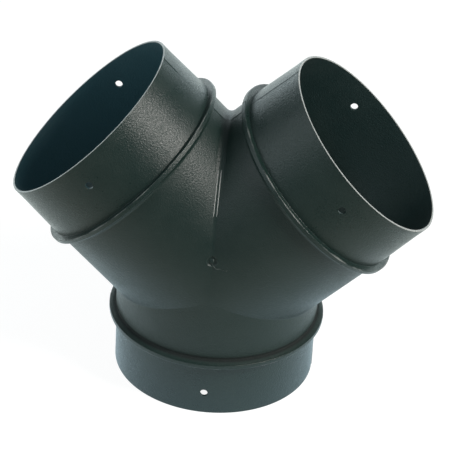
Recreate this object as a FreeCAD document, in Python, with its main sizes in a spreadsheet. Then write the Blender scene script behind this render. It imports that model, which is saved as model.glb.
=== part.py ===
import FreeCAD, Part
import os

import Sketcher

# Duct Y branch: one thin-walled moulding that splits a round duct in two.
# Frame: origin at the centre of the trunk's rim, +Z up along the trunk, the two branches
# leaning to -X and +X in the XZ plane, and the moulding's gate mark on the front, towards -Y.
# Lengths are in millimetres and angles in degrees.

NODE = "duct_y_branch"

# Driving dimensions, one cell of the sheet each
SIZES = {
    "spigot_od": 100.0,              # outside of each spigot, which a 100 mm hose slides over
    "wall": 1.6,                     # wall of a spigot
    "body_step": 0.4,                # how far the body stands proud of the spigots
    "branch_angle": 45.0,            # each branch from the trunk's line
    "branch_neck": 12.5,             # plain tube from the crotch to a branch's collar
    "trunk_neck": 13.0,              # plain tube from the side creases to the trunk's collar
    "branch_spigot_length": 30.3,    # collar to rim
    "trunk_spigot_length": 28.9,
    "collar_projection": 3.8,        # collar beyond the spigot
    "collar_thickness": 2.25,        # at the collar's edge
    "collar_slope": 68.0,            # back of the collar, from the tube's line
    "collar_cove": 1.0,              # fillet between the body and the back of the collar
    "rim_chamfer": 0.4,              # lead-in for the hose
    "hub_proud": 0.3,                # rounded middle of the junction, beyond the tubes
    "crotch_fillet": 3.5,            # valley between the branches
    "crease_fillet": 1.5,            # creases between the trunk and the branches
    "screw_hole_diameter": 4.0,
    "screw_hole_inset": 11.8,        # hole's centre from the rim
    "gate_height": 22.5,             # gate mark above the point where the three axes meet
    "gate_recess_diameter": 5.0,
    "gate_recess_depth": 0.5,
    "gate_stub_diameter": 2.0,
    "gate_stub_height": 0.7,         # from the floor of the recess
}

# Sizes that follow from the sheet, measured from an arm's axis or from the meeting point
SPIGOT_RADIUS = "(sizes.spigot_od / 2)"
BORE_RADIUS = f"({SPIGOT_RADIUS} - sizes.wall)"
BODY_RADIUS = f"({SPIGOT_RADIUS} + sizes.body_step)"
HUB_RADIUS = f"({BODY_RADIUS} + sizes.hub_proud)"
COLLAR_RADIUS = f"({SPIGOT_RADIUS} + sizes.collar_projection)"
CROTCH_OFFSET = f"{BODY_RADIUS} / tan(sizes.branch_angle)"
CREASE_OFFSET = f"{BODY_RADIUS} * tan(sizes.branch_angle / 2)"
BRANCH_COLLAR = f"({CROTCH_OFFSET} + sizes.branch_neck)"
TRUNK_COLLAR = f"({CREASE_OFFSET} + sizes.trunk_neck)"
COLLAR_FLARE = f"(({COLLAR_RADIUS} - {BODY_RADIUS}) / tan(sizes.collar_slope))"
BRANCH_RIM = f"({BRANCH_COLLAR} + sizes.collar_thickness + sizes.branch_spigot_length)"
TRUNK_RIM = f"({TRUNK_COLLAR} + sizes.collar_thickness + sizes.trunk_spigot_length)"
COVE = f"min(sizes.collar_cove; ({COLLAR_RADIUS} - {BODY_RADIUS}) * 0.9)"
RIM_CHAMFER = "min(sizes.rim_chamfer; sizes.wall * 0.45)"
VALLEY_AT_GATE = f"sqrt({BODY_RADIUS}^2 - (sizes.gate_height * sin(sizes.branch_angle))^2)"

# Each arm's name, the turn of its axis from +Z towards -X, and its collar and rim along that axis
ARMS = (
    ("trunk", "180", TRUNK_COLLAR, TRUNK_RIM),
    ("left_branch", "sizes.branch_angle", BRANCH_COLLAR, BRANCH_RIM),
    ("right_branch", "-sizes.branch_angle", BRANCH_COLLAR, BRANCH_RIM),
)

UP = FreeCAD.Vector(0, 0, 1)
SMALL = 1e-4

# The sketcher's numbers for its own axes and for the points of a line, an arc or a circle
H_AXIS, V_AXIS = range(-1, -3, -1)
START, END, CENTRE = range(1, 4)
ORIGIN = (H_AXIS, START)

doc = FreeCAD.newDocument(NODE)
sheet = doc.addObject("Spreadsheet::Sheet", "sizes")
for row, (alias, size) in enumerate(SIZES.items(), start=1):
    sheet.set(f"A{row}", alias)
    sheet.set(f"B{row}", str(size))
    sheet.setAlias(f"B{row}", alias)
doc.recompute()

body = doc.addObject("PartDesign::Body", NODE)
body.Label = NODE
side_plane = next(f for f in body.Origin.OriginFeatures if f.Role == "XZ_Plane")


def measure(expression):
    """The number that an expression of the sheet's sizes gives."""
    return float(body.evalExpression(expression))


def arm_sketch(name, turn, forward="0"):
    """A sketch facing -Y, its origin at the meeting point and its Y axis out along an arm."""
    sketch = body.newObject("Sketcher::SketchObject", name)
    sketch.AttachmentSupport = [(side_plane, "")]
    sketch.MapMode = "FlatFace"
    sketch.AttachmentOffset = FreeCAD.Placement(
        FreeCAD.Vector(), FreeCAD.Rotation(UP, measure(turn)))
    sketch.setExpression("AttachmentOffset.Base.y", TRUNK_RIM)
    sketch.setExpression("AttachmentOffset.Base.z", forward)
    sketch.setExpression("AttachmentOffset.Rotation.Angle", turn)
    return sketch


def constrain(sketch, kind, *where):
    """Add a constraint to a sketch."""
    return sketch.addConstraint(Sketcher.Constraint(kind, *where))


def bind(sketch, name, expression, kind, *where):
    """Add a named dimension to a sketch and tie it to the sheet."""
    index = constrain(sketch, kind, *where, measure(expression))
    sketch.renameConstraint(index, name)
    sketch.setExpression(f"Constraints.{name}", expression)


def hold(sketch, name, expression, kind, axis, *point):
    """Keep a point at a distance from one of the sketch's axes, or on that axis."""
    if expression == "0":
        constrain(sketch, "PointOnObject", *point, axis)
    else:
        bind(sketch, name, expression, kind, *ORIGIN, *point)


def draw_outline(sketch, corners):
    """Closed outline through corners given as (radius, along); returns its lines.

    Two corners in a row with the same radius or the same along share an upright or level line.
    """
    points = [FreeCAD.Vector(measure(radius), measure(along), 0) for radius, along in corners]
    ends = points[1:] + points[:1]
    lines = [sketch.addGeometry(Part.LineSegment(*pair)) for pair in zip(points, ends)]
    last_radius, last_along = None, None
    for i, (radius, along) in enumerate(corners):
        constrain(sketch, "Coincident", lines[i - 1], END, lines[i], START)
        if radius == last_radius:
            constrain(sketch, "Vertical", lines[i - 1])
        else:
            hold(sketch, f"radius_{i}", radius, "DistanceX", V_AXIS, lines[i], START)
        if along == last_along:
            constrain(sketch, "Horizontal", lines[i - 1])
        else:
            hold(sketch, f"along_{i}", along, "DistanceY", H_AXIS, lines[i], START)
        last_radius, last_along = radius, along
    return lines


def round_corner(sketch, line, radius):
    """Fillet the far end of a line; a construction point keeps the corner and its dimensions."""
    sketch.fillet(line, END, measure(radius), True, True)
    arc = next(i for i, shape in enumerate(sketch.Geometry) if isinstance(shape, Part.ArcOfCircle))
    bind(sketch, "rounding", radius, "Radius", arc)


def draw_circle(sketch, along, diameter):
    """A circle on the sketch's Y axis."""
    centre = FreeCAD.Vector(0, measure(along), 0)
    circle = sketch.addGeometry(Part.Circle(centre, UP, measure(diameter) / 2))
    hold(sketch, "across", "0", "DistanceX", V_AXIS, circle, CENTRE)
    hold(sketch, "along", along, "DistanceY", H_AXIS, circle, CENTRE)
    bind(sketch, "diameter", diameter, "Diameter", circle)


def draw_half_disc(sketch, radius):
    """A half disc about the meeting point, on the right of the sketch's Y axis."""
    top = FreeCAD.Vector(0, measure(radius), 0)
    side = FreeCAD.Vector(measure(radius), 0, 0)
    arc = sketch.addGeometry(Part.Arc(-top, side, top))
    edge = sketch.addGeometry(Part.LineSegment(top, -top))
    constrain(sketch, "Coincident", arc, CENTRE, *ORIGIN)
    for arc_end, edge_end in ((START, END), (END, START)):
        constrain(sketch, "PointOnObject", arc, arc_end, V_AXIS)
        constrain(sketch, "Coincident", arc, arc_end, edge, edge_end)
    bind(sketch, "rounding", radius, "Radius", arc)


def settle(feature, adds):
    """Recompute, and check that a feature added material or took it away, as meant."""
    before = feature.BaseFeature.Shape.Volume if feature.BaseFeature else 0.0
    doc.recompute()
    change = feature.Shape.Volume - before
    if abs(change) < SMALL or (change > 0) != adds:
        raise RuntimeError(f"{feature.Label} changed the volume by {change:.3f} mm3")


def turn_profile(kind, name, sketch, adds):
    """Revolve a profile about its arm's axis, to add it or to cut it out."""
    feature = body.newObject(kind, name)
    feature.Profile = sketch
    feature.ReferenceAxis = (sketch, ["V_Axis"])
    feature.Angle = 360
    settle(feature, adds)


def push_circle(kind, name, sketch, length, adds, side="One side", backwards=False):
    """Pad or pocket a sketch by a length tied to the sheet."""
    feature = body.newObject(kind, name)
    feature.Profile = sketch
    feature.SideType = side
    feature.Reversed = backwards
    feature.setExpression("Length", length)
    settle(feature, adds)


def slants_at(shape, edge):
    """For each tube that meets another at an edge, whether it leans."""
    surfaces = [face.Surface for face in shape.ancestorsOfType(edge, Part.Face)]
    tubes = [surface for surface in surfaces if isinstance(surface, Part.Cylinder)]
    return sorted(abs(tube.Axis.z) < 1 - SMALL for tube in tubes)


def dress_seams(name, radius, slants):
    """Fillet the seams of two tubes, picked out by which of the tubes lean; all are inside corners."""
    base = body.Tip
    numbers = [i for i, edge in enumerate(base.Shape.Edges, start=1)
               if slants_at(base.Shape, edge) == slants]
    feature = body.newObject("PartDesign::Fillet", name)
    feature.Base = (base, [f"Edge{i}" for i in numbers])
    feature.setExpression("Radius", radius)
    settle(feature, adds=True)


# Outside of the three arms: body tube, stop collar with a cove behind it, and plain spigot
for arm, turn, collar, rim in ARMS:
    step = f"({collar} + sizes.collar_thickness)"
    sketch = arm_sketch(f"{arm}_outside", turn)
    lines = draw_outline(sketch, (
        ("0", "0"),
        (BODY_RADIUS, "0"),
        (BODY_RADIUS, f"{collar} - {COLLAR_FLARE}"),
        (COLLAR_RADIUS, collar),
        (COLLAR_RADIUS, step),
        (SPIGOT_RADIUS, step),
        (SPIGOT_RADIUS, f"{rim} - {RIM_CHAMFER}"),
        (f"{SPIGOT_RADIUS} - {RIM_CHAMFER}", rim),
        ("0", rim),
    ))
    round_corner(sketch, lines[1], COVE)
    turn_profile("PartDesign::Revolution", f"{arm}_form", sketch, adds=True)

# Middle of the junction: a ball that just covers the points where all three tubes meet
sketch = arm_sketch("hub_outline", "0")
draw_half_disc(sketch, HUB_RADIUS)
turn_profile("PartDesign::Revolution", "hub", sketch, adds=True)

# Fillets along the valley between the branches and the creases above the trunk, running out on the hub
dress_seams("crotch", "sizes.crotch_fillet", [True, True])
dress_seams("creases", "sizes.crease_fillet", [False, True])

# Air passage through the three arms
for arm, turn, collar, rim in ARMS:
    past_rim = f"({rim} + sizes.wall)"
    sketch = arm_sketch(f"{arm}_inside", turn)
    draw_outline(sketch, (
        ("0", "0"),
        (BORE_RADIUS, "0"),
        (BORE_RADIUS, past_rim),
        ("0", past_rim),
    ))
    turn_profile("PartDesign::Groove", f"{arm}_bore", sketch, adds=False)

# Screw holes right through each spigot, front and back
for arm, turn, collar, rim in ARMS:
    sketch = arm_sketch(f"{arm}_hole_centre", turn)
    draw_circle(sketch, f"{rim} - sizes.screw_hole_inset", "sizes.screw_hole_diameter")
    push_circle("PartDesign::Pocket", f"{arm}_screw_holes", sketch, f"2 * {COLLAR_RADIUS}",
                adds=False, side="Symmetric")

# Gate mark in the front valley: a shallow recess with the sheared stub of the sprue
recess_floor = f"{VALLEY_AT_GATE} - sizes.gate_recess_depth"
sketch = arm_sketch("gate_recess_outline", "0", recess_floor)
draw_circle(sketch, "sizes.gate_height", "sizes.gate_recess_diameter")
push_circle("PartDesign::Pocket", "gate_recess", sketch, "sizes.gate_recess_diameter",
            adds=False, backwards=True)
sketch = arm_sketch("gate_stub_outline", "0", recess_floor)
draw_circle(sketch, "sizes.gate_height", "sizes.gate_stub_diameter")
push_circle("PartDesign::Pad", "gate_stub", sketch, "sizes.gate_stub_height", adds=True)

# Nothing is written unless every object and the finished solid are sound
for item in doc.Objects:
    if "Invalid" in item.State or "Error" in item.State:
        raise RuntimeError(f"{item.Label} is {item.State}")
    if item.isDerivedFrom("Sketcher::SketchObject") and not item.FullyConstrained:
        raise RuntimeError(f"{item.Label} isn't fully constrained")
if body.Shape.isNull() or not body.Shape.isValid() or len(body.Shape.Solids) != 1:
    raise RuntimeError(f"{NODE} isn't one sound solid")

os.makedirs("parts", exist_ok=True)
body.Shape.exportStep(f"parts/{body.Label}.step")
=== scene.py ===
"""Looks of the duct Y branch: one satin black moulding, standing on its trunk on a white sweep."""

import math
from collections import namedtuple

import bmesh
import bpy
import numpy as np
from mathutils import Matrix, Vector
from mathutils.bvhtree import BVHTree


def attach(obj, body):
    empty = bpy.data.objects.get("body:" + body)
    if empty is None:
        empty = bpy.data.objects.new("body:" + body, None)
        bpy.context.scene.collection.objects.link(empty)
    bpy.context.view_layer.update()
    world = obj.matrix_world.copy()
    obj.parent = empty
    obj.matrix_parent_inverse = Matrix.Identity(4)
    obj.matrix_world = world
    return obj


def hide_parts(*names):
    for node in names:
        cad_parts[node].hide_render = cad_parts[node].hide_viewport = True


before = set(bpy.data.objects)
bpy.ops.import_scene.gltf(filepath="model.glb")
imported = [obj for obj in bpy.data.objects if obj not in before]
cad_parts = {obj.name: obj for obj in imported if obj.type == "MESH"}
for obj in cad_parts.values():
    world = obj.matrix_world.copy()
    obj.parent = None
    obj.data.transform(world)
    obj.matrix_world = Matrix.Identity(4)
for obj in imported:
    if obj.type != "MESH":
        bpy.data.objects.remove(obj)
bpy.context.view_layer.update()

# Sizes of the moulding in millimetres, in the frame of the CAD part
MM = 0.001
MEETING_HEIGHT = 65.026
BODY_RADIUS = 50.4
SPIGOT_RADIUS = 50.0
SPIGOT_LAND = 5.5
BRANCH_TAPER = 0.74
TRUNK_TAPER = 0.1
TRUNK_RIM = MEETING_HEIGHT
TRUNK_COLLAR = 33.876
BRANCH_RIM = 95.45
BRANCH_COLLAR = 62.9
BORE_RADIUS = 48.4
BORE_DRAFT = 0.5
BORE_DRAFT_LENGTH = 30.0
COLLAR_RADIUS = 53.8
COLLAR_THICKNESS = 2.25
COLLAR_FLARE = 1.374
BRANCH_COVE = 2.0
TRUNK_COVE = 1.2
CROTCH_ROUND = 3.5
CREASE_ROUND = 1.5
INSIDE_ROUND = 1.0
HOLE_INSET = 11.8
HOLE_RADIUS = 1.85

# Roundings of the collar, of the corner at its foot and of the rim, and where the collar's straight
# outside starts and ends, from its two edges
COLLAR_BACK_ROUND = 0.4
COLLAR_FRONT_ROUND = 0.35
COLLAR_FLAT_START = 0.65
COLLAR_FLAT_END = 0.6
FOOT_ROUND = 0.2
RIM_OUTER_ROUND = 0.3
RIM_INNER_ROUND = 0.25

# Rings of points around a screw hole, on the outside of the wall and then on its bore: how much
# wider than the hole, how far out from the wall, and how worn
HOLE_OUTER_RINGS = (
    (1.55, 0.0, 0.0), (0.75, 0.0, 0.0), (0.25, 0.0, 0.0),
    (0.1, 0.0, 0.3), (0.04, -0.04, 0.6), (0.0, -0.12, 0.3),
)
HOLE_BORE_RINGS = ((0.0, 0.12, 0.0), (0.04, 0.04, 0.0), (0.25, 0.0, 0.0), (1.55, 0.0, 0.0))

# Parting bead along both sides, and how far from the rim a rubbed bead starts to be whole and is whole
PARTING_BEAD = 0.2
BEAD_RUBBED_TO = 13.0
BEAD_WHOLE_FROM = 8.0

# Wear of the edges, dullness of the surfaces, where the dullest, the trunk's cove, is also painted in
# shade, and how far past the draft the painted light in a bore fades out
EDGE_WEAR = 0.55
EDGE_WEAR_REACH = 0.4
RIM_WEAR_REACH = 0.2
BODY_DULL = 0.08
BORE_DULL = 0.25
SHADED_COVE_DULL = 0.45
COVE_END = 0.3
PAINTED_BORE_LIGHT_FADE = 14.0

# Gate mark in the front valley: a recess with a lip, and the sloping stub that is left in it
GATE_HEIGHT = 22.5
GATE_RECESS_RADIUS = 2.6
GATE_RECESS_DEPTH = 0.55
GATE_RECESS_WALL = 0.5
GATE_LIP_HEIGHT = 0.07
GATE_LIP_OFFSET = 0.25
GATE_LIP_WIDTH = 0.3
GATE_STUB_RADIUS = 1.2
GATE_STUB_HEIGHT = 0.75
GATE_STUB_WALL = 0.35
GATE_STUB_SLOPE = 0.25
GATE_STUB_FALL = 0.5
GATE_REACH = 3.6
VALLEY_FRONT = -46.5

# Threads of plastic on the front: the string at the gate, as points across and above the meeting
# point, and two lines of flash in the valley, by their places across it and their two ends. Their
# pale grey is a painted highlight
STRING = (
    (-0.1, 21.2), (0.4, 20.5), (1.1, 20.1), (1.7, 19.6), (2.2, 19.1), (2.9, 19.2), (3.8, 19.5),
    (4.6, 19.45), (5.4, 19.25), (6.0, 19.0), (6.6, 18.95), (7.6, 19.1),
)
STRING_RADIUS = 0.26
STRING_PAINTED_HIGHLIGHT = 0.54
FLASH_LINES = (-1.05, 0.42)
FLASH_HEIGHTS = (43.0, 61.0)
FLASH_RADIUS = 0.28
FLASH_PAINTED_HIGHLIGHT = 1.0
THREAD_TIP = 0.35
WELL_IN_FRONT = -90.0

# How finely the skin is drawn. Around the gate, faces within a reach are cut by a number of cuts.
# Points closer than the weld become one
COLUMNS = 240
BEAD_COLUMN = 0.5
SEAM_STEPS = 6
BODY_STEPS = 18
BORE_STEPS = 14
COVE_STEPS = 8
EDGE_STEPS = 4
RIM_STEPS = 5
FOOT_CELLS = 6
RIM_CELLS = 4
RIM_BORE_CELLS = 3
DRAFT_CELLS = 4
HOLE_CELLS = 4
HOLE_CELL_LENGTH = 1.3
GATE_CUTS = ((4.6, 1), (GATE_REACH, 2))
THREAD_SIDES = 6
FLASH_POINTS = 40
WELD = 0.004

# Finish of the plastic: linear colours, among them painted light for the bores, painted shade for
# the trunk's cove and a grey for worn edges and painted highlights, roughness of the sheen, and the
# levels of the noises in use
BLOTCH_COLOURS = ((0.35, (0.0095, 0.0245, 0.0215, 1.0)), (0.7, (0.0145, 0.0305, 0.0265, 1.0)))
# Painted light: a pale teal laid on the bores
BORE_PAINTED_LIGHT = (0.036, 0.108, 0.132, 1.0)
# Painted shade: near-black for the trunk's cove above its collar
COVE_PAINTED_SHADE = (0.003, 0.006, 0.006, 1.0)
COVE_SHADE_COVER = 0.85
# Grey for worn edges, also used as painted highlight on the threads
RUBBED_AND_HIGHLIGHT_GREY = (0.36, 0.37, 0.36, 1.0)
SHEEN_ROUGHNESS = (0.27, 0.41)
SPECKLE_ROUGHNESS = (-0.08, 0.08)
BLOTCH_LEVELS = (0.3, 0.75)
MOTTLE_LEVELS = (0.3, 0.7)
RUBBED_AND_HIGHLIGHT_LEVELS = (1.0, 1.4)
GRAIN_HEIGHT = 0.0002

# White paper, as the camera sees it and as the part's sheen shows it, in metres and linear colours.
# In the sheen it is a painted glow: a pool of light behind the part, painted shadow under the trunk
# and a blue tint near the part
FLOOR_RADIUS = 1.6
FLOOR_SIDES = 96
PAPER_WHITE = (0.9, 0.9, 0.9, 1.0)
PAPER_SHADE = (0.22, 0.22, 0.22, 1.0)
PAPER_GLOW = 0.92
NEAR_WHITE = (0.91, 1.17, 1.3, 1.0)
NEAR_REACH = (0.06, 0.13)
FRONT_WHITE = (0.79, 0.85, 0.76, 1.0)
BACK_WHITE = (0.96, 1.08, 1.06, 1.0)
FRONT_TO_BACK = (-0.12, -0.02)
BRIGHT_MIDDLE = (-0.07, 0.1, 0.0)
BRIGHT_REACH = (0.12, 0.47)
BRIGHT_LEVELS = (1.06, 0.22)
BEHIND_REACH = (0.0, 0.5)
UNDER_TRUNK = (0.046, 0.05)

# Room around the paper and its lamps
ROOM_WHITE = (0.85, 1.0, 1.04, 1.0)
ROOM_BRIGHT_SIDE = (-0.15, 0.98, -1.1)
ROOM_REACH = (0.35, 0.9)
ROOM_LEVELS = (0.19, 2.2)
BACKDROP_WHITE = (1.0, 1.0, 1.0, 1.0)
LAMP_DISTANCE = 1.3
LAMP_AIM = Vector((0.0, 0.0, 0.09))

# Sockets of a node that mixes colours (share, two colours, result), and the space between nodes
MIX_INPUTS = (0, 6, 7)
MIX_RESULT = 2
NODE_SPACING = 220

MEETING_POINT = np.array((0.0, 0.0, MEETING_HEIGHT))
FRONT = np.array((0.0, -1.0, 0.0))
SLANT = math.sqrt(0.5)
TRUNK_ALONG = np.array((0.0, 0.0, -1.0))
TRUNK_ACROSS = np.array((-1.0, 0.0, 0.0))
LEFT_ALONG = np.array((-SLANT, 0.0, SLANT))
RIGHT_ALONG = np.array((SLANT, 0.0, SLANT))

# An arm's axis, the way across it to the arm above its top seam, where its collar and rim are along
# its axis from the meeting point, the cove behind its collar and how dull that is (the dullest cove
# is also painted in shade), how far its spigot widens towards the collar, how much of the parting
# bead is left on it, how much painted light its bore gets, and the neighbours over its top seam and
# under its lower one, with the roundings there
Arm = namedtuple(
    "Arm",
    "along across collar rim cove cove_dull taper bead lining over under over_round under_round",
)
# Each arm's lining sets how much painted light its bore gets: most in the left arm, least in the right
ARMS = (
    Arm(TRUNK_ALONG, TRUNK_ACROSS, TRUNK_COLLAR, TRUNK_RIM, TRUNK_COVE, SHADED_COVE_DULL, TRUNK_TAPER,
        bead=0.5, lining=0.7, over=LEFT_ALONG, under=RIGHT_ALONG,
        over_round=CREASE_ROUND, under_round=CREASE_ROUND),
    Arm(LEFT_ALONG, RIGHT_ALONG, BRANCH_COLLAR, BRANCH_RIM, BRANCH_COVE, BODY_DULL, BRANCH_TAPER,
        bead=0.25, lining=1.0, over=RIGHT_ALONG, under=TRUNK_ALONG,
        over_round=CROTCH_ROUND, under_round=CREASE_ROUND),
    Arm(RIGHT_ALONG, LEFT_ALONG, BRANCH_COLLAR, BRANCH_RIM, BRANCH_COVE, BODY_DULL, BRANCH_TAPER,
        bead=1.0, lining=0.1, over=LEFT_ALONG, under=TRUNK_ALONG,
        over_round=CROTCH_ROUND, under_round=CREASE_ROUND),
)


def column_angles():
    """Angles of the lines along an arm, from the front towards its top seam, with the parting lines."""
    even = [math.tau * i / COLUMNS for i in range(COLUMNS)]
    beside = math.radians(BEAD_COLUMN)
    edges = [centre + side * beside for centre in (math.pi / 2, 3 * math.pi / 2) for side in (-1, 1)]
    return np.array(sorted(even + edges))


ANGLES = column_angles()
BEAD = np.where(np.isclose(np.abs(np.sin(ANGLES)), 1.0, atol=1e-9), PARTING_BEAD, 0.0)[:, None]


def smooth_step(low, high, value):
    """0 below low, 1 above high, and an even rise between them."""
    share = min(max((value - low) / (high - low), 0.0), 1.0)
    return share * share * (3 - 2 * share)


def unit(rows):
    """Rows of vectors at length 1."""
    return rows / np.linalg.norm(rows, axis=1, keepdims=True)


def outward(arm):
    """The way out from an arm's axis at each column."""
    return np.cos(ANGLES)[:, None] * FRONT + np.sin(ANGLES)[:, None] * arm.across


def seam(arm, radius, over_round, under_round):
    """Half of the fillet along an arm's seams, as a ball rolled between two equal tubes leaves it.

    Returns how far out the plain tube starts, the balls' centres and sizes, and the ways from the
    centres to the tube and to the middle of the seam.
    """
    out = outward(arm)
    on_top = (np.sin(ANGLES) > 0)[:, None]
    other = np.where(on_top, arm.over, arm.under)
    ball = np.where(on_top, over_round, under_round)
    reach = radius + ball
    lean = (out * other).sum(1, keepdims=True)
    start = reach * lean / (1 - (other @ arm.along)[:, None])
    centre = start * arm.along + reach * out
    facing = unit(centre - (centre * other).sum(1, keepdims=True) * other)
    return start, centre, ball, out, unit(out + facing)


def seam_row(centre, ball, out, middle, share):
    """One line along the fillet: share 0 is on the tube and 1 is the middle of the seam."""
    return centre - ball * unit((1 - share) * out + share * middle)


def rounded(corners):
    """Points along a line of corners (along, radius, rounding, steps)."""
    points = []
    for i, (along, radius, rounding, steps) in enumerate(corners):
        corner = np.array((along, radius))
        if not rounding:
            points.append(corner)
            continue
        back = unit((np.array(corners[i - 1][:2]) - corner)[None])[0]
        onward = unit((np.array(corners[i + 1][:2]) - corner)[None])[0]
        half = math.acos(float(np.clip(back @ onward, -1, 1))) / 2
        inward = unit((back + onward)[None])[0]
        centre = corner + inward * rounding / math.sin(half)
        first = corner + back * rounding / math.tan(half) - centre
        last = corner + onward * rounding / math.tan(half) - centre
        turn = math.acos(float(np.clip(first @ last, -rounding ** 2, rounding ** 2)) / rounding ** 2)
        for step in range(steps + 1):
            share = step / steps
            mix = math.sin((1 - share) * turn) * first + math.sin(share * turn) * last
            points.append(centre + mix / math.sin(turn))
    return points


def stretch(first, last, cells):
    """Points between two places on a straight line, without its ends."""
    return [first + (last - first) * i / cells for i in range(1, cells)]


def spigot_radius(arm, along):
    """Outside of an arm's spigot, which is straight near the rim and grows towards the collar."""
    foot = arm.collar + COLLAR_THICKNESS
    share = (arm.rim - SPIGOT_LAND - along) / (arm.rim - SPIGOT_LAND - foot)
    return SPIGOT_RADIUS + arm.taper * np.maximum(share, 0.0)


def bore_radius(arm, along):
    """Inside of an arm, which opens slightly towards the rim."""
    share = 1 - (arm.rim - along) / BORE_DRAFT_LENGTH
    return BORE_RADIUS + BORE_DRAFT * np.maximum(share, 0.0)


def arm_profile(arm):
    """Line from the cove behind an arm's collar, over the collar, spigot and rim, to inside the bore."""
    foot = arm.collar + COLLAR_THICKNESS
    hole = arm.rim - HOLE_INSET
    draft_end = arm.rim - BORE_DRAFT_LENGTH
    flare = arm.collar - COLLAR_FLARE
    hole_lines = [hole + i * HOLE_CELL_LENGTH for i in range(-HOLE_CELLS, HOLE_CELLS + 1)]
    spigot_lines = stretch(foot, hole_lines[0], FOOT_CELLS) + hole_lines
    spigot_lines += stretch(hole_lines[-1], arm.rim, RIM_CELLS)
    bore_lines = stretch(arm.rim, hole_lines[-1], RIM_BORE_CELLS) + hole_lines[::-1]
    bore_lines += stretch(hole_lines[0], draft_end, DRAFT_CELLS) + [draft_end]
    corners = [
        (flare - arm.cove, BODY_RADIUS, 0, 0),
        (flare, BODY_RADIUS, arm.cove, COVE_STEPS),
        (arm.collar, COLLAR_RADIUS, COLLAR_BACK_ROUND, EDGE_STEPS),
        (arm.collar + COLLAR_FLAT_START, COLLAR_RADIUS, 0, 0),
        (foot - COLLAR_FLAT_END, COLLAR_RADIUS, 0, 0),
        (foot, COLLAR_RADIUS, COLLAR_FRONT_ROUND, EDGE_STEPS),
        (foot, spigot_radius(arm, foot), FOOT_ROUND, EDGE_STEPS),
    ]
    corners += [(along, spigot_radius(arm, along), 0, 0) for along in spigot_lines]
    corners.append((arm.rim, SPIGOT_RADIUS, RIM_OUTER_ROUND, RIM_STEPS))
    corners.append((arm.rim, bore_radius(arm, arm.rim), RIM_INNER_ROUND, EDGE_STEPS))
    corners += [(along, bore_radius(arm, along), 0, 0) for along in bore_lines]
    return rounded(corners)[1:]


def row_at(profile, along, radius):
    """Number of a profile's point."""
    gaps = [abs(point[0] - along) + abs(point[1] - radius) for point in profile]
    return gaps.index(min(gaps))


class Skin:
    """Points and faces of the moulding's surface, with each point's wear and painted highlight, its
    painted bore light and how dull it is.
    """

    def __init__(self):
        self.points = []
        self.wear = []
        self.inside = []
        self.dull = []
        self.faces = []

    def add(self, points, wear=0.0, inside=0.0, dull=0.0):
        """Add a row of points, and return their numbers."""
        first = len(self.points)
        self.points += [tuple(point) for point in points]
        for layer, value in ((self.wear, wear), (self.inside, inside), (self.dull, dull)):
            layer += np.broadcast_to(value, len(points)).tolist()
        return list(range(first, len(self.points)))

    def bridge(self, one, two, skip=()):
        """Join two closed rows of points with faces, apart from those at the columns to skip."""
        count = len(one)
        for i in range(count):
            if i not in skip:
                j = (i + 1) % count
                self.faces.append((one[i], one[j], two[j], two[i]))


def edge_wear(arm, along, radius):
    """How rubbed a point of the profile is: all over the rim, and here and there on the collar's edge."""
    if along > arm.rim - RIM_WEAR_REACH:
        return 1.0
    foot = arm.collar + COLLAR_THICKNESS
    return EDGE_WEAR if math.hypot(along - foot, radius - COLLAR_RADIUS) < EDGE_WEAR_REACH else 0.0


def hole_columns(side):
    """Columns of the cells around a screw hole, on the front (1) or the back (-1) of a spigot."""
    middle = int(np.argmax(side * np.cos(ANGLES)))
    return [(middle + i) % len(ANGLES) for i in range(-HOLE_CELLS, HOLE_CELLS + 1)]


def hole_loop(rows, columns):
    """Points around a block of cells, from its corner at the lowest row and column."""
    loop = [rows[0][c] for c in columns[:-1]]
    loop += [row[columns[-1]] for row in rows[:-1]]
    loop += [rows[-1][c] for c in reversed(columns[1:])]
    loop += [row[columns[0]] for row in reversed(rows[1:])]
    return loop


def drill(skin, arm, side, outer_rows, bore_rows):
    """A screw hole with softened edges, through the wall of a spigot."""
    middle = arm.rim - HOLE_INSET
    centre = MEETING_POINT + arm.along * middle
    count = 8 * HOLE_CELLS
    first_corner = -0.75 * math.pi
    turns = first_corner + math.tau * np.arange(count) / count
    last = hole_loop(outer_rows, hole_columns(side))
    for number, (wider, rise, wear) in enumerate(HOLE_OUTER_RINGS + HOLE_BORE_RINGS):
        inside = number >= len(HOLE_OUTER_RINGS)
        sideways = (HOLE_RADIUS + wider) * np.cos(turns)
        onward = (HOLE_RADIUS + wider) * np.sin(turns)
        wall = (bore_radius if inside else spigot_radius)(arm, middle + onward)
        depth = np.sqrt((wall + rise) ** 2 - sideways ** 2)
        ring = centre + np.outer(sideways, side * arm.across) + np.outer(onward, arm.along)
        ring += np.outer(depth, side * FRONT)
        # The bore side of a hole gets the arm's painted bore light
        row = skin.add(ring, wear, arm.lining * inside, BORE_DULL * inside)
        skin.bridge(last, row)
        last = row
    skin.bridge(last, hole_loop(bore_rows, hole_columns(side)))


def body_rows(skin, arm, cove_start):
    """Rows of points from the middle of an arm's outer seams, along its body, to the cove."""
    out = outward(arm)
    start, *fillet = seam(arm, BODY_RADIUS, arm.over_round, arm.under_round)
    rows = []
    for step in range(SEAM_STEPS):
        share = step / SEAM_STEPS
        line = MEETING_POINT + seam_row(*fillet, 1 - share) + share * BEAD * out
        rows.append(skin.add(line, dull=BODY_DULL))
    for step in range(BODY_STEPS):
        along = start + (cove_start - start) * step / BODY_STEPS
        line = MEETING_POINT + along * arm.along + (BODY_RADIUS + BEAD) * out
        rows.append(skin.add(line, dull=BODY_DULL))
    return rows


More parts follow.
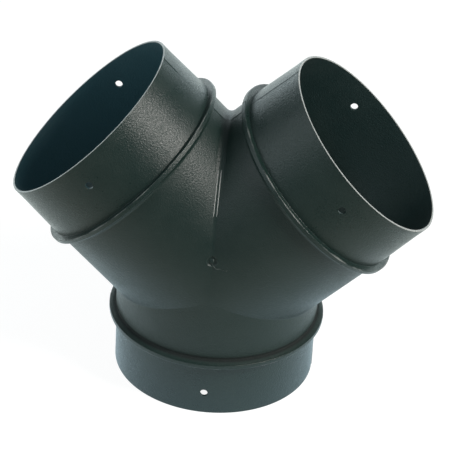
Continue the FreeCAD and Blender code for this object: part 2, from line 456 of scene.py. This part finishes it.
def profile_rows(skin, arm, profile):
    """Rows of points along an arm's profile: cove, collar, spigot, rim and the drafted end of its bore."""
    out = outward(arm)
    rim_row = row_at(profile, arm.rim, SPIGOT_RADIUS)
    rows = []
    for number, (along, radius) in enumerate(profile):
        near_rim = smooth_step(arm.rim - BEAD_RUBBED_TO, arm.rim - BEAD_WHOLE_FROM, along)
        left = 1.0 if along < arm.collar else max(arm.bead, near_rim)
        bead = left * BEAD if number < rim_row - 1 else 0.0
        line = MEETING_POINT + along * arm.along + (radius + bead) * out
        inside = number > rim_row and along < arm.rim - RIM_WEAR_REACH
        # The trunk's cove is the dullest, and that also paints it in shade
        dull = arm.cove_dull if along < arm.collar - COVE_END else BORE_DULL * inside
        rows.append(skin.add(line, edge_wear(arm, along, radius), arm.lining * inside, dull))
    return rows


def deep_rows(skin, arm, draft_end):
    """Rows of points from the end of a bore's draft to the middle of its inner seams."""
    out = outward(arm)
    start, *fillet = seam(arm, BORE_RADIUS, INSIDE_ROUND, INSIDE_ROUND)
    rows = []
    for step in range(1, BORE_STEPS + 1):
        along = draft_end + (start - draft_end) * step / BORE_STEPS
        line = MEETING_POINT + along * arm.along + BORE_RADIUS * out
        # Painted light in the bore, fading out deeper in
        bore_light_share = np.clip(1 - (draft_end - along[:, 0]) / PAINTED_BORE_LIGHT_FADE, 0.0, 1.0)
        rows.append(skin.add(line, inside=arm.lining * bore_light_share, dull=BORE_DULL))
    for step in range(1, SEAM_STEPS + 1):
        line = MEETING_POINT + seam_row(*fillet, step / SEAM_STEPS)
        rows.append(skin.add(line, dull=BORE_DULL))
    return rows


def arm_skin(skin, arm):
    """Outside, rim and bore of one arm, from the middle of its outer seams to that of its inner ones."""
    profile = arm_profile(arm)
    rows = body_rows(skin, arm, profile[0][0])
    first_fixed = len(rows)
    rows += profile_rows(skin, arm, profile)
    rows += deep_rows(skin, arm, profile[-1][0])

    hole = arm.rim - HOLE_INSET
    spread = HOLE_CELLS * HOLE_CELL_LENGTH
    span = 2 * HOLE_CELLS
    outer_first = first_fixed + row_at(profile, hole - spread, spigot_radius(arm, hole - spread))
    bore_first = first_fixed + row_at(profile, hole + spread, bore_radius(arm, hole + spread))
    holed = set(range(outer_first, outer_first + span)) | set(range(bore_first, bore_first + span))
    cut = set(hole_columns(1)[:-1]) | set(hole_columns(-1)[:-1])
    for number in range(len(rows) - 1):
        skin.bridge(rows[number], rows[number + 1], cut if number in holed else ())
    outer_rows = rows[outer_first:outer_first + span + 1]
    bore_rows = rows[bore_first:bore_first + span + 1][::-1]
    for side in (1, -1):
        drill(skin, arm, side, outer_rows, bore_rows)


def gate_depth(x, z):
    """How far the gate mark sinks the surface at a place seen from the front."""
    distance = math.hypot(x, z)
    in_recess = 1 - smooth_step(GATE_RECESS_RADIUS - GATE_RECESS_WALL, GATE_RECESS_RADIUS, distance)
    on_stub = 1 - smooth_step(GATE_STUB_RADIUS - GATE_STUB_WALL, GATE_STUB_RADIUS, distance)
    slope = GATE_STUB_SLOPE * (x - GATE_STUB_FALL * z) / GATE_STUB_RADIUS
    past_lip = (distance - GATE_RECESS_RADIUS - GATE_LIP_OFFSET) / GATE_LIP_WIDTH
    lip = GATE_LIP_HEIGHT * math.exp(-past_lip ** 2)
    return GATE_RECESS_DEPTH * in_recess - (GATE_STUB_HEIGHT + slope) * on_stub - lip


def press_gate(mesh):
    """Sink the gate mark into the front valley, on finer faces."""
    height = MEETING_HEIGHT + GATE_HEIGHT

    def on_gate(point, reach):
        return point.y < VALLEY_FRONT and math.hypot(point.x, point.z - height) < reach

    for reach, cuts in GATE_CUTS:
        picked = [face for face in mesh.faces if on_gate(face.calc_center_median(), reach)]
        edges = list({edge for face in picked for edge in face.edges})
        bmesh.ops.subdivide_edges(mesh, edges=edges, cuts=cuts, use_grid_fill=True)
    for vert in mesh.verts:
        if on_gate(vert.co, GATE_REACH):
            vert.co.y += gate_depth(vert.co.x, vert.co.z - height)


def lay_thread(mesh, path, radius, wear):
    """Lay a thread of plastic, tapered at both ends, on the front along a path of (x, height) points; its
    wear value paints it pale as a highlight.
    """
    tree = BVHTree.FromBMesh(mesh)
    worn_and_highlit = mesh.verts.layers.float["wear"]
    inward = Vector(-FRONT)
    starts = [Vector((x, WELL_IN_FRONT, MEETING_HEIGHT + z)) for x, z in path]
    line = [tree.ray_cast(start, inward)[0] for start in starts]
    turns = [math.tau * k / THREAD_SIDES for k in range(THREAD_SIDES)]
    last = None
    for i, point in enumerate(line):
        way = (line[min(i + 1, len(line) - 1)] - line[max(i - 1, 0)]).normalized()
        side = way.cross(Vector(FRONT)).normalized()
        rise = side.cross(way)
        swell = math.sin(math.pi * (i + 0.5) / len(line)) ** 0.5
        size = radius * (THREAD_TIP + (1 - THREAD_TIP) * swell)
        ring = [mesh.verts.new(point + size * (math.cos(t) * side + math.sin(t) * rise)) for t in turns]
        for vert in ring:
            vert[worn_and_highlit] = wear
        if last:
            for k in range(THREAD_SIDES):
                mesh.faces.new((last[k - 1], last[k], ring[k], ring[k - 1]))
        if last is None or i == len(line) - 1:
            mesh.faces.new(ring)
        last = ring


def moulding_mesh():
    """The whole moulding as one closed mesh, in metres."""
    skin = Skin()
    for arm in ARMS:
        arm_skin(skin, arm)
    data = bpy.data.meshes.new("duct_y_branch_skin")
    data.from_pydata(skin.points, [], skin.faces)
    for name, values in (("wear", skin.wear), ("inside", skin.inside), ("dull", skin.dull)):
        layer = data.attributes.new(name, "FLOAT", "POINT")
        layer.data.foreach_set("value", values)
    mesh = bmesh.new()
    mesh.from_mesh(data)
    bmesh.ops.remove_doubles(mesh, verts=mesh.verts, dist=WELD)
    bmesh.ops.dissolve_degenerate(mesh, edges=mesh.edges, dist=WELD)
    press_gate(mesh)
    lay_thread(mesh, STRING, STRING_RADIUS, STRING_PAINTED_HIGHLIGHT)
    for across in FLASH_LINES:
        heights = np.linspace(*FLASH_HEIGHTS, FLASH_POINTS)
        lay_thread(mesh, [(across, height) for height in heights], FLASH_RADIUS, FLASH_PAINTED_HIGHLIGHT)
    bmesh.ops.recalc_face_normals(mesh, faces=mesh.faces)
    bmesh.ops.scale(mesh, vec=(MM, MM, MM), verts=mesh.verts)
    for face in mesh.faces:
        face.smooth = True
    mesh.to_mesh(data)
    mesh.free()
    return data


def empty_tree(owner):
    """Node tree of a material or world, with no nodes in it."""
    owner.use_nodes = True
    owner.node_tree.nodes.clear()
    return owner.node_tree


def add_node(tree, kind, **settings):
    """A shader node after the last one, with its settings or input values."""
    node = tree.nodes.new(kind)
    node.location = (NODE_SPACING * len(tree.nodes), 0)
    for name, value in settings.items():
        if hasattr(node, name):
            setattr(node, name, value)
        else:
            node.inputs[name].default_value = value
    return node


def feed(tree, node, **values):
    """Join outputs of other nodes to a node's inputs, by name with _ for a space."""
    for name, value in values.items():
        tree.links.new(value, node.inputs[name.replace("_", " ")])


def noise(tree, where, scale, detail, roughness):
    """Cloudy pattern at a scale."""
    node = add_node(tree, "ShaderNodeTexNoise", Scale=scale, Detail=detail, Roughness=roughness)
    feed(tree, node, Vector=where)
    return node.outputs["Fac"]


def map_range(tree, value, measured, mapped=(0.0, 1.0), interpolation="LINEAR"):
    """A value whose measured range (low, high) is mapped to another, and held at its ends."""
    node = add_node(tree, "ShaderNodeMapRange", interpolation_type=interpolation)
    for name, number in zip(("From Min", "From Max", "To Min", "To Max"), (*measured, *mapped)):
        node.inputs[name].default_value = number
    feed(tree, node, Value=value)
    return node.outputs["Result"]


def combine(tree, operation, one, two):
    """Sum or product of two values."""
    node = add_node(tree, "ShaderNodeMath", operation=operation)
    tree.links.new(one, node.inputs[0])
    tree.links.new(two, node.inputs[1])
    return node.outputs["Value"]


def measure(tree, operation, vector, other=(0.0, 0.0, 0.0)):
    """Length, distance or dot product of a vector."""
    node = add_node(tree, "ShaderNodeVectorMath", operation=operation)
    tree.links.new(vector, node.inputs[0])
    node.inputs[1].default_value = other
    return node.outputs["Value"]


def mix_colours(tree, share, first, second):
    """Colour between two, each a plain colour or the output of a node."""
    node = add_node(tree, "ShaderNodeMix", data_type="RGBA")
    for number, value in zip(MIX_INPUTS, (share, first, second)):
        if isinstance(value, bpy.types.NodeSocket):
            tree.links.new(value, node.inputs[number])
        else:
            node.inputs[number].default_value = value
    return node.outputs[MIX_RESULT]


def choose_shader(tree, ray, other, chosen):
    """One surface for a kind of ray, and another for the rest."""
    node = add_node(tree, "ShaderNodeMixShader")
    for number, value in enumerate((ray, other, chosen)):
        tree.links.new(value, node.inputs[number])
    return node.outputs["Shader"]


def satin_black_plastic():
    """Black moulded plastic: fine grain, blotches of sheen, scuffs, paler worn edges, painted light in the
    bores, painted shade in the trunk's cove and painted highlights on the threads.
    """
    material = bpy.data.materials.new("satin_black_plastic")
    tree = empty_tree(material)
    where = add_node(tree, "ShaderNodeTexCoord").outputs["Object"]
    inside = add_node(tree, "ShaderNodeAttribute", attribute_name="inside").outputs["Fac"]
    dull = add_node(tree, "ShaderNodeAttribute", attribute_name="dull").outputs["Fac"]
    wear = add_node(tree, "ShaderNodeAttribute", attribute_name="wear").outputs["Fac"]

    blotches = noise(tree, where, scale=55.0, detail=5.0, roughness=0.65)
    colours = add_node(tree, "ShaderNodeValToRGB")
    for stop, (position, colour) in zip(colours.color_ramp.elements, BLOTCH_COLOURS):
        stop.position = position
        stop.color = colour
    feed(tree, colours, Fac=blotches)
    # Painted light: the bores are laid with a pale teal
    with_painted_bore_light = mix_colours(tree, inside, colours.outputs["Color"], BORE_PAINTED_LIGHT)
    # Painted shade: the trunk's cove darkened almost to black
    cove_shade_share = map_range(tree, dull, (BORE_DULL, SHADED_COVE_DULL), (0.0, COVE_SHADE_COVER))
    with_painted_cove_shade = mix_colours(tree, cove_shade_share, with_painted_bore_light, COVE_PAINTED_SHADE)
    # Paler grey where worn, and painted highlight on the string and the flash lines
    wear_and_highlight_noise = noise(tree, where, scale=70.0, detail=5.0, roughness=0.65)
    rubbed_and_highlit = map_range(tree, combine(tree, "ADD", wear, wear_and_highlight_noise), RUBBED_AND_HIGHLIGHT_LEVELS)
    worn_and_highlit = mix_colours(tree, rubbed_and_highlit, with_painted_cove_shade, RUBBED_AND_HIGHLIGHT_GREY)

    sheen = map_range(tree, blotches, BLOTCH_LEVELS, SHEEN_ROUGHNESS)
    mottle = noise(tree, where, scale=1000.0, detail=3.0, roughness=0.7)
    speckle = map_range(tree, mottle, MOTTLE_LEVELS, SPECKLE_ROUGHNESS)
    matt = combine(tree, "ADD", combine(tree, "ADD", sheen, speckle), dull)

    grain = noise(tree, where, scale=1250.0, detail=3.0, roughness=0.65)
    bump = add_node(tree, "ShaderNodeBump", Strength=1.0, Distance=GRAIN_HEIGHT)
    feed(tree, bump, Height=grain)

    surface = add_node(tree, "ShaderNodeBsdfPrincipled")
    feed(tree, surface, Base_Color=worn_and_highlit, Roughness=matt, Normal=bump.outputs["Normal"])
    output = add_node(tree, "ShaderNodeOutputMaterial")
    feed(tree, output, Surface=surface.outputs["BSDF"])
    return material


def white_paper():
    """White to the camera, with a soft shadow; in the part's sheen a painted glow, brightest behind the
    part, painted dark under the trunk and tinted blue near it.
    """
    material = bpy.data.materials.new("white_paper")
    tree = empty_tree(material)
    where = add_node(tree, "ShaderNodeTexCoord").outputs["Object"]
    place = add_node(tree, "ShaderNodeSeparateXYZ")
    feed(tree, place, Vector=where)
    depth = place.outputs["Y"]
    from_part = measure(tree, "LENGTH", where)
    from_middle = measure(tree, "DISTANCE", where, BRIGHT_MIDDLE)

    # Painted light in the sheen: a pool of light behind the part, painted shadow under the trunk and a
    # blue tint near it
    fall = map_range(tree, from_middle, BRIGHT_REACH, BRIGHT_LEVELS, "SMOOTHSTEP")
    behind = map_range(tree, depth, BEHIND_REACH, interpolation="SMOOTHSTEP")
    open_floor = map_range(tree, from_part, UNDER_TRUNK)
    lit = combine(tree, "MULTIPLY", combine(tree, "ADD", fall, behind), open_floor)
    far_white = mix_colours(tree, map_range(tree, depth, FRONT_TO_BACK), FRONT_WHITE, BACK_WHITE)
    white = mix_colours(tree, map_range(tree, from_part, NEAR_REACH), NEAR_WHITE, far_white)
    sheen = add_node(tree, "ShaderNodeEmission")
    feed(tree, sheen, Color=white, Strength=lit)

    paper = add_node(tree, "ShaderNodeBsdfDiffuse", Color=PAPER_WHITE)
    shade = add_node(tree, "ShaderNodeBsdfDiffuse", Color=PAPER_SHADE)
    glow = add_node(tree, "ShaderNodeEmission", Strength=PAPER_GLOW)
    seen = add_node(tree, "ShaderNodeAddShader")
    tree.links.new(shade.outputs["BSDF"], seen.inputs[0])
    tree.links.new(glow.outputs["Emission"], seen.inputs[1])
    ray = add_node(tree, "ShaderNodeLightPath").outputs
    mirrored = choose_shader(tree, ray["Is Glossy Ray"], paper.outputs["BSDF"], sheen.outputs["Emission"])
    output = add_node(tree, "ShaderNodeOutputMaterial")
    feed(tree, output, Surface=choose_shader(tree, ray["Is Camera Ray"], mirrored, seen.outputs["Shader"]))
    return material


def white_sweep():
    """Sheet of white paper under the part."""
    bpy.ops.mesh.primitive_circle_add(
        vertices=FLOOR_SIDES, radius=FLOOR_RADIUS, fill_type="NGON", location=(0.0, 0.0, 0.0))
    floor = bpy.context.object
    floor.name = "floor"
    floor.data.materials.append(white_paper())


def white_room():
    """White backdrop behind the part, in a dim room."""
    world = bpy.data.worlds.new("white_room")
    bpy.context.scene.world = world
    tree = empty_tree(world)
    where = add_node(tree, "ShaderNodeTexCoord").outputs["Generated"]
    toward = measure(tree, "DOT_PRODUCT", where, ROOM_BRIGHT_SIDE)
    level = map_range(tree, toward, ROOM_REACH, ROOM_LEVELS, "SMOOTHSTEP")
    room = add_node(tree, "ShaderNodeBackground", Color=ROOM_WHITE)
    feed(tree, room, Strength=level)
    white = add_node(tree, "ShaderNodeBackground", Color=BACKDROP_WHITE, Strength=1.0)
    ray = add_node(tree, "ShaderNodeLightPath").outputs["Is Camera Ray"]
    output = add_node(tree, "ShaderNodeOutputWorld")
    seen = choose_shader(tree, ray, room.outputs["Background"], white.outputs["Background"])
    feed(tree, output, Surface=seen)


def soft_lamp(name, direction, size, power, colour):
    """A square softbox that faces the part."""
    data = bpy.data.lights.new(name, "AREA")
    data.size = size
    data.energy = power
    data.color = colour
    lamp = bpy.data.objects.new(name, data)
    bpy.context.scene.collection.objects.link(lamp)
    way = Vector(direction).normalized()
    lamp.location = LAMP_AIM + LAMP_DISTANCE * way
    lamp.rotation_euler = way.to_track_quat("Z", "Y").to_euler()


def studio_camera():
    """Camera at the photograph's angle; its numbers come from fitting the rims and collars."""
    turn, rise, roll = (math.radians(angle) for angle in (3.966, 32.342, 3.5705))
    distance = 1.1707
    target = Vector((0.00180, 0.00016, 0.07809))
    back = Vector((math.sin(turn) * math.cos(rise), -math.cos(turn) * math.cos(rise), math.sin(rise)))
    level = Vector((0.0, 0.0, 1.0)).cross(back).normalized()
    upright = back.cross(level)
    right = math.cos(roll) * level + math.sin(roll) * upright
    up = math.cos(roll) * upright - math.sin(roll) * level
    data = bpy.data.cameras.new("camera")
    data.sensor_width = 36.0
    data.lens = 190.19
    camera = bpy.data.objects.new("camera", data)
    bpy.context.scene.collection.objects.link(camera)
    facing = Matrix((right, up, back)).transposed().to_4x4()
    camera.matrix_world = Matrix.Translation(target + distance * back) @ facing
    bpy.context.scene.camera = camera


moulding = bpy.data.objects.new("duct_y_branch_moulding", moulding_mesh())
bpy.context.scene.collection.objects.link(moulding)
moulding.data.materials.append(satin_black_plastic())
moulding.modifiers.new("even_shading", "WEIGHTED_NORMAL")
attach(moulding, "root")
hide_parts("duct_y_branch")

white_sweep()
white_room()
soft_lamp("lamp_right", (0.70, -0.33, 0.66), size=0.38, power=13.5, colour=(1.0, 0.97, 0.92))
soft_lamp("lamp_left", (-0.82, -0.3, 0.48), size=1.1, power=4.4, colour=(0.9, 1.0, 1.03))
studio_camera()
bpy.context.scene.view_settings.view_transform = "Standard"
